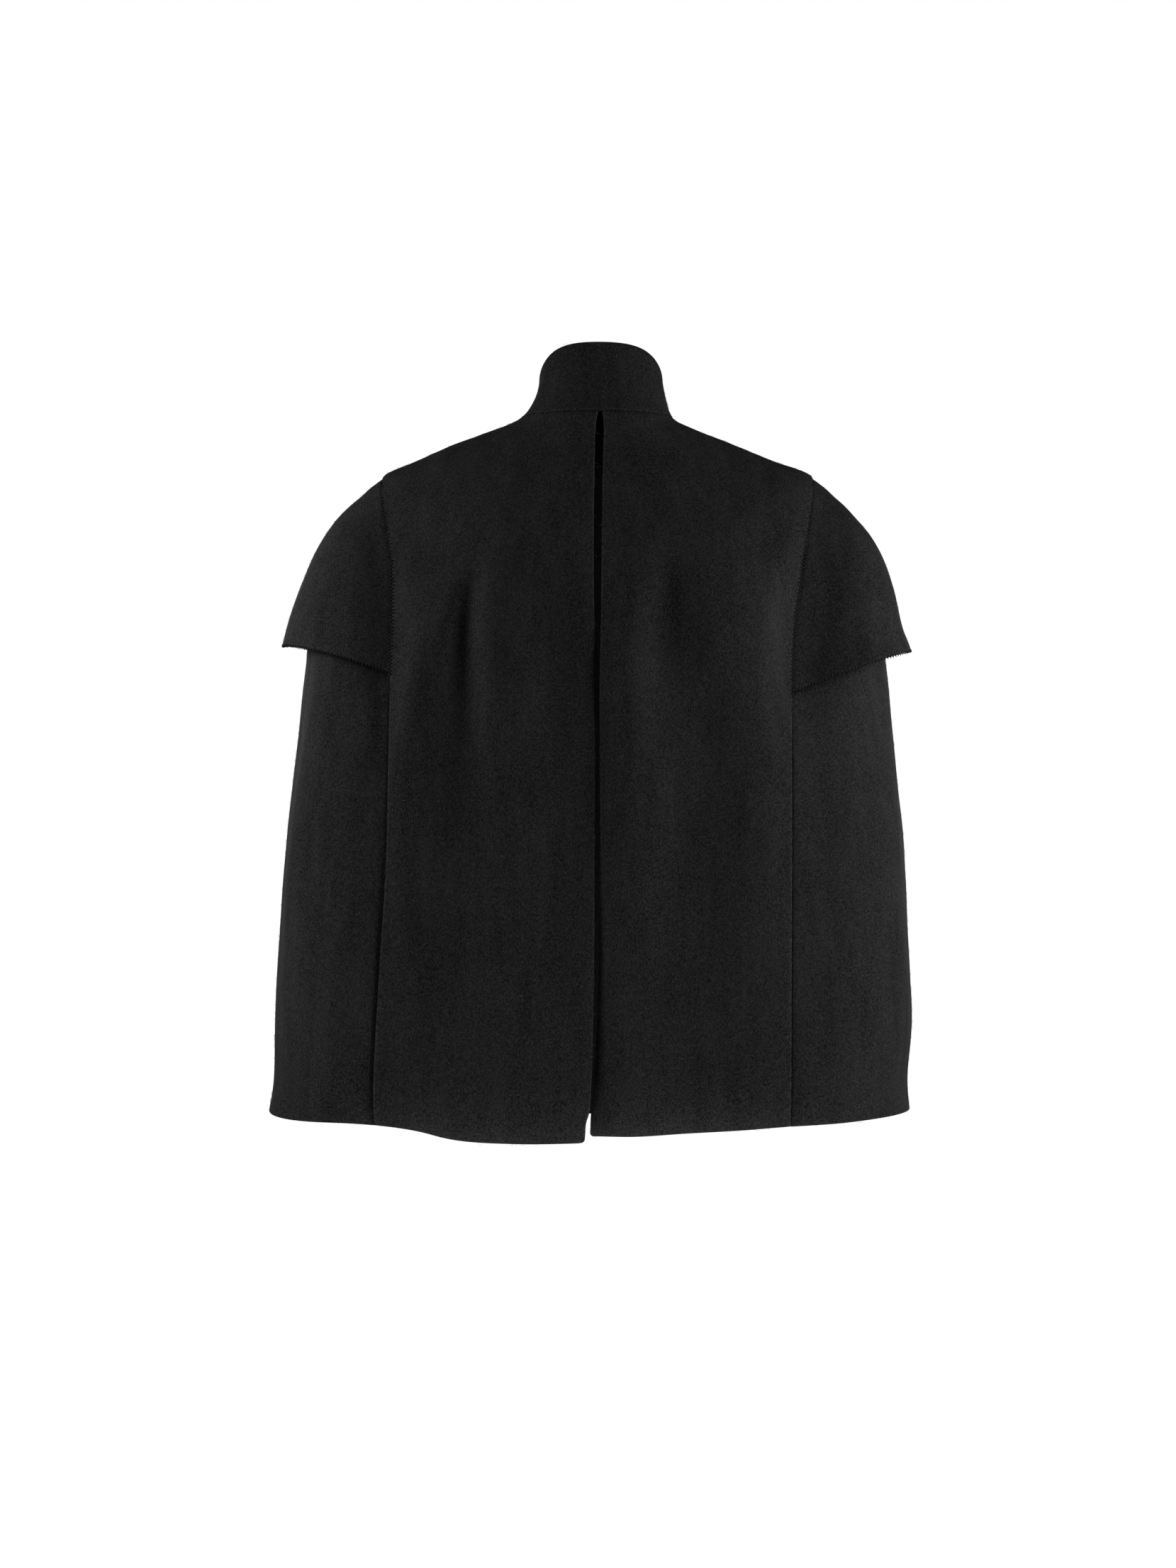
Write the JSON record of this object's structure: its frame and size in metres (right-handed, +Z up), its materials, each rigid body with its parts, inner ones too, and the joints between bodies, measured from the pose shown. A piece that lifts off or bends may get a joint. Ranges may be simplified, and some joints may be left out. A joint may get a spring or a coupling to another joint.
{
  "type": "wool cape",
  "caption": "Short black wool cape with a stand collar, a slit down the centre back, cap sleeves over arm slits and plain lapped fronts, held in its worn shape.",
  "frame": {"origin": "middle of the neck at the height of the collar seam's centre back, where the wearer's neck and shoulders carry the cape", "axes": "+Z up, +Y towards the wearer's front, +X towards the wearer's right; the pictured back faces -Y"},
  "size_m": [0.6211, 0.3701, 0.7639],
  "materials": {
    "wool": "black felted coat wool, matt with a short nap"
  },
  "bodies": {
    "root": {"collar": "wool", "back_left": "wool", "back_right": "wool", "front_left": "wool", "front_right": "wool", "cap_sleeve_left": "wool", "cap_sleeve_right": "wool", "side_left": "wool", "side_right": "wool"}
  },
  "joints": []
}
